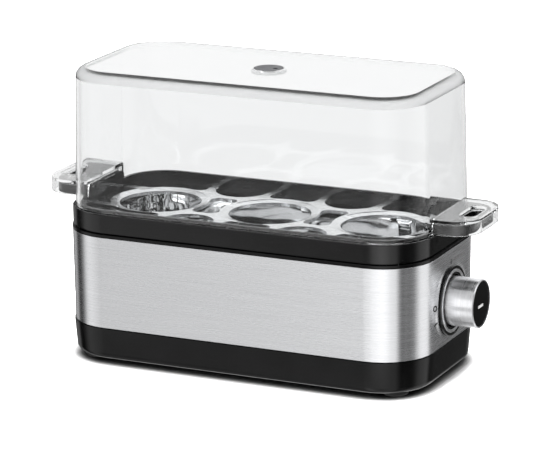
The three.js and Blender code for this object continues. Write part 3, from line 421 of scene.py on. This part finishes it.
def dress_soft():
    rubber = soft_plastic("black_rubber", dark=(0.010,) * 3, light=(0.022,) * 3,
                          rough_low=0.72, rough_high=0.9, relief_scale=1500)
    feet = [name for name in nodes if name.startswith("rubber_foot")]
    assign(rubber, *feet)
    silicone = soft_plastic("red_silicone", dark=(0.32, 0.07, 0.05), light=(0.45, 0.1, 0.07),
                            rough_low=0.5, rough_high=0.7)
    assign(silicone, "dish_seal")
    resin = soft_plastic("pale_resin", dark=(0.6, 0.57, 0.5), light=(0.74, 0.7, 0.62),
                         rough_low=0.5, rough_high=0.7)
    assign(resin, "thermostat", "terminal_block", "control_unit")
    cover = soft_plastic("lead_cover", dark=(0.56, 0.52, 0.43), light=(0.68, 0.64, 0.54),
                         rough_low=0.55, rough_high=0.75)
    leads = [name for name in nodes if name.startswith("lead_")]
    assign(cover, *leads)
    print_white = soft_plastic("white_print", dark=(0.8,) * 3, light=(0.88,) * 3,
                               rough_low=0.4, rough_high=0.55)
    assign(print_white, "knob_pointer")
    assign(vent_plastic(), "steam_vent")


def finish_edges(piece):
    """Welds a CAD piece's facets into smooth surfaces and rounds its edges."""
    mesh = piece.data
    if "custom_normal" in mesh.attributes:
        mesh.attributes.remove(mesh.attributes["custom_normal"])
    mesh.polygons.foreach_set("use_smooth", [True] * len(mesh.polygons))
    weld = piece.modifiers.new("weld", "WELD")
    weld.merge_threshold = WELD_DISTANCE
    flat = piece.modifiers.new("flat", "DECIMATE")
    flat.decimate_type = "DISSOLVE"
    flat.angle_limit = FLAT_ANGLE
    bevel = piece.modifiers.new("edges", "BEVEL")
    bevel.width = EDGE_WIDTH
    bevel.segments = EDGE_SEGMENTS
    bevel.limit_method = "ANGLE"
    bevel.angle_limit = EDGE_ANGLE
    bevel.use_clamp_overlap = True
    even = piece.modifiers.new("even", "WEIGHTED_NORMAL")
    even.weight = EVEN_WEIGHT


def band_face(height):
    """Where the steel band's +X face lies at this height."""
    share = (height - BAND_LOW.z) / (BAND_HIGH.z - BAND_LOW.z)
    return BAND_HIGH.x - BAND_TAPER * (1 - share)


def swell_reach(turn):
    """How far the swell's foot lies from the knob's axis in this direction."""
    return 1 / math.hypot(math.cos(turn) / SWELL_ACROSS, math.sin(turn) / SWELL_UP)


def swell_height(y, z):
    """How far the swell round the bezel stands out from the band's +X face at this place."""
    turn = math.atan2(z - KNOB_HEIGHT, y)
    foot = swell_reach(turn)
    share = (foot - math.hypot(y, z - KNOB_HEIGHT)) / (foot - SWELL_INNER)
    share = min(max(share, 0.0), 1.0)
    return SWELL_HEIGHT * math.cos(turn) ** 2 * share * share * (3 - 2 * share) - SWELL_SUNK


def round_knob(reach, turn):
    """The (y, z) place at this distance and angle from the knob's axis."""
    return reach * math.cos(turn), KNOB_HEIGHT + reach * math.sin(turn)


def loft(name, sections, closed, material):
    """A solid piece of the base through loops of points; closed joins the last loop to the first."""
    shape = bmesh.new()
    loops = [[shape.verts.new(point) for point in section] for section in sections]
    count = len(loops)
    for k in range(count if closed else count - 1):
        here = loops[k]
        after = loops[(k + 1) % count]
        for j in range(len(here)):
            beside = (j + 1) % len(here)
            shape.faces.new((here[j], here[beside], after[beside], after[j]))
    if not closed:
        shape.faces.new(loops[0])
        shape.faces.new(loops[-1])
    bmesh.ops.recalc_face_normals(shape, faces=shape.faces)
    mesh = bpy.data.meshes.new(name)
    shape.to_mesh(mesh)
    shape.free()
    mesh.materials.append(material)
    piece = bpy.data.objects.new(name, mesh)
    bpy.context.scene.collection.objects.link(piece)
    bpy.context.view_layer.update()
    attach(piece, "base")
    return piece


def make_swell(steel):
    """The swell as a thin shell on the band's +X face, its slope smooth and its edges sharp."""
    sections = []
    for k in range(SWELL_SIDES):
        turn = math.tau * k / SWELL_SIDES
        foot = swell_reach(turn)
        section = []
        for step in range(SWELL_STEPS + 1):
            y, z = round_knob(foot + (SWELL_INNER - foot) * step / SWELL_STEPS, turn)
            section.append((band_face(z) + swell_height(y, z), y, z))
        for reach in (SWELL_INNER, foot):
            y, z = round_knob(reach, turn)
            section.append((band_face(z) - SWELL_DEPTH, y, z))
        sections.append(section)
    swell = loft("band_swell", sections, True, steel)
    for face in swell.data.polygons:
        face.use_smooth = face.normal.x > 0.5


def print_mark(name, rails, closed, centre, ink):
    """A thin printed mark on the +X face between two rails of (across, up) points about its (y, z) centre."""
    sections = []
    for pair in zip(*rails):
        places = [(centre[0] + across, centre[1] + up) for across, up in pair]
        levels = [band_face(z) + max(swell_height(y, z), 0.0) + MARK_GAP for y, z in places]
        under = [(level, y, z) for level, (y, z) in zip(levels, places)]
        over = [(level + MARK_THICKNESS, y, z) for level, (y, z) in zip(levels, places)]
        sections.append(under + over[::-1])
    loft(name, sections, closed, ink)


def circle(radius):
    turn = math.tau / MARK_SIDES
    return [(radius * math.cos(k * turn), radius * math.sin(k * turn)) for k in range(MARK_SIDES)]


def bar(width, height, angle=0.0):
    """Two rails up a bar of this width and height, turned by the angle."""
    c = math.cos(angle)
    s = math.sin(angle)
    heights = [height * (k / MARK_STEPS - 0.5) for k in range(MARK_STEPS + 1)]
    return [[(x * c - h * s, x * s + h * c) for h in heights] for x in (-width / 2, width / 2)]


def make_marks():
    ink = soft_plastic("mark_ink", dark=(0.012,) * 3, light=(0.02,) * 3, rough_low=0.45, rough_high=0.6)
    top = (0, KNOB_HEIGHT + TOP_MARK_REACH)
    print_mark("dial_mark_top", bar(*TOP_MARK_SIZE), False, top, ink)
    rings = [circle(radius) for radius in RING_MARK_RADII]
    side = (RING_MARK_PLACE[0], KNOB_HEIGHT + RING_MARK_PLACE[1])
    print_mark("dial_mark_off", rings, True, side, ink)
    low = round_knob(LOW_MARK_REACH, LOW_MARK_TURN)
    print_mark("dial_mark_low", bar(*LOW_MARK_SIZE, LOW_MARK_LEAN), False, low, ink)


def mix_greys(tree, share, first, second):
    """Goes from the first brightness to the second as the share rises; each is a number or a socket."""
    mix = tree.nodes.new("ShaderNodeMix")
    mix.data_type = "RGBA"
    tree.links.new(share, mix.inputs["Factor"])
    for socket, level in (("A", first), ("B", second)):
        if isinstance(level, float):
            mix.inputs[socket].default_value = (level, level, level, 1)
        else:
            tree.links.new(level, mix.inputs[socket])
    return mix.outputs["Result"]


def by_ray(tree, kind, plain, seen):
    """The plain brightness, or the other one for rays of the kind named."""
    path = tree.nodes.new("ShaderNodeLightPath")
    return mix_greys(tree, path.outputs[kind], plain, seen)


def floor_white():
    """White floor, bright where it is looked at, and dark only close to what stands on it, where painted
    shade deepens its real shadow.
    """
    material, tree, _ = new_material("floor_white")
    tree.nodes.clear()
    matt = tree.nodes.new("ShaderNodeBsdfDiffuse")
    output = tree.nodes.new("ShaderNodeOutputMaterial")
    tree.links.new(matt.outputs[0], output.inputs["Surface"])
    # Painted shade: the colour the camera sees is darkened where the floor is enclosed, close to what stands
    # on it
    shade = tree.nodes.new("ShaderNodeAmbientOcclusion")
    shade.samples = SHADE_SAMPLES
    shade.inputs["Distance"].default_value = SHADE_REACH
    depth = combine(tree, "POWER", shade.outputs["AO"], SHADE_DEPTH)
    bright = mix_greys(tree, depth, 0.0, FLOOR_SEEN)
    tree.links.new(by_ray(tree, "Is Camera Ray", FLOOR_PLAIN, bright), matt.inputs["Color"])
    return material


def make_floor():
    """The floor, which the object's mirrors and lid don't see: they see the studio below the horizon."""
    mesh = bpy.data.meshes.new("floor")
    half = FLOOR_SIZE / 2
    corners = [(-half, -half, 0), (half, -half, 0), (half, half, 0), (-half, half, 0)]
    mesh.from_pydata(corners, [], [(0, 1, 2, 3)])
    mesh.materials.append(floor_white())
    floor = bpy.data.objects.new("floor", mesh)
    floor.location.z = -FLOOR_DROP
    bpy.context.scene.collection.objects.link(floor)
    floor.visible_glossy = False
    floor.visible_transmission = False


def levels_round(tree, share, levels):
    """Brightness round about, from (degrees, level) pairs, where 0 degrees is in front."""
    node = tree.nodes.new("ShaderNodeValToRGB")
    ramp = node.color_ramp
    while len(ramp.elements) < len(levels):
        ramp.elements.new(0.5)
    for element, (degrees, level) in zip(ramp.elements, levels):
        element.position = (degrees + 180) / 360
        element.color = (level, level, level, 1)
    tree.links.new(share, node.inputs["Fac"])
    return node.outputs["Color"]


def blend_up(tree, height, below, above, band):
    """Goes over from one brightness to the next as the direction climbs through the band."""
    climb = spread(tree, height, *band, smooth=True)
    return mix_greys(tree, climb, below, above)


def make_world():
    """Soft studio surroundings by direction, and plain white where the camera looks past the floor."""
    world = bpy.data.worlds.new("studio")
    bpy.context.scene.world = world
    world.use_nodes = True
    tree = world.node_tree
    tree.nodes.clear()
    right, rear, height = axis_parts(tree, object_place(tree, "Generated"))
    front = combine(tree, "MULTIPLY", rear, -1.0)
    azimuth = combine(tree, "ARCTAN2", right, front)
    share = spread(tree, azimuth, -math.pi, math.pi)
    low = levels_round(tree, share, LOW_LEVELS)
    wide = levels_round(tree, share, WIDE_LEVELS)
    through = levels_round(tree, share, THROUGH_LEVELS)
    high = levels_round(tree, share, HIGH_LEVELS)
    sides = blend_up(tree, height, wide, low, LOW_FROM)
    sides = blend_up(tree, height, sides, wide, LOW_TO)
    sides = by_ray(tree, "Is Transmission Ray", sides, through)
    sides = blend_up(tree, height, sides, high, HIGH_FROM)
    whole = blend_up(tree, height, sides, TOP_LEVEL, TOP_FROM)
    background = tree.nodes.new("ShaderNodeBackground")
    background.inputs["Strength"].default_value = 1.0
    tree.links.new(by_ray(tree, "Is Camera Ray", whole, 1.0), background.inputs["Color"])
    output = tree.nodes.new("ShaderNodeOutputWorld")
    tree.links.new(background.outputs[0], output.inputs["Surface"])


def area_light(name, place, target, width, height, power):
    """A soft rectangular lamp aimed at the target, which neither the camera nor mirrors see."""
    data = bpy.data.lights.new(name, "AREA")
    data.shape = "RECTANGLE"
    data.size = width
    data.size_y = height
    data.energy = power
    lamp = bpy.data.objects.new(name, data)
    lamp.location = place
    lamp.rotation_mode = "QUATERNION"
    lamp.rotation_quaternion = (Vector(target) - Vector(place)).to_track_quat("-Z", "Y")
    lamp.visible_camera = False
    lamp.visible_glossy = False
    bpy.context.scene.collection.objects.link(lamp)


def make_lights():
    area_light("top_softbox", place=(0, -0.1, 1.3), target=(0, 0, 0.05), width=1.3, height=0.9, power=9)
    area_light("front_softbox", place=(-0.5, -1.3, 0.7), target=(0, 0, 0.07), width=0.9, height=0.9, power=5)


def make_camera():
    data = bpy.data.cameras.new("camera")
    data.lens = CAMERA_LENS
    data.sensor_width = CAMERA_SENSOR
    data.clip_end = CAMERA_FAR
    camera = bpy.data.objects.new("camera", data)
    a, e, r = CAMERA_AZIMUTH, CAMERA_ELEVATION, CAMERA_ROLL
    back = Vector((math.sin(a) * math.cos(e), -math.cos(a) * math.cos(e), math.sin(e)))
    level = Vector((math.cos(a), math.sin(a), 0))
    upright = back.cross(level)
    right = level * math.cos(r) - upright * math.sin(r)
    up = upright * math.cos(r) + level * math.sin(r)
    aim = level * AIM_RIGHT + Vector((0, 0, AIM_HEIGHT))
    turn = Matrix((right, up, back)).transposed()
    camera.matrix_world = Matrix.Translation(aim + back * CAMERA_DISTANCE) @ turn.to_4x4()
    bpy.context.scene.collection.objects.link(camera)
    bpy.context.scene.camera = camera


make_camera()
band_steel = brushed_steel()
dress_black()
dress_metal(band_steel)
dress_soft()
assign(clear_plastic(), "lid_dome")
for node in nodes.values():
    finish_edges(node)
make_swell(band_steel)
make_marks()
make_floor()
make_world()
make_lights()
bpy.context.scene.view_settings.view_transform = "Standard"
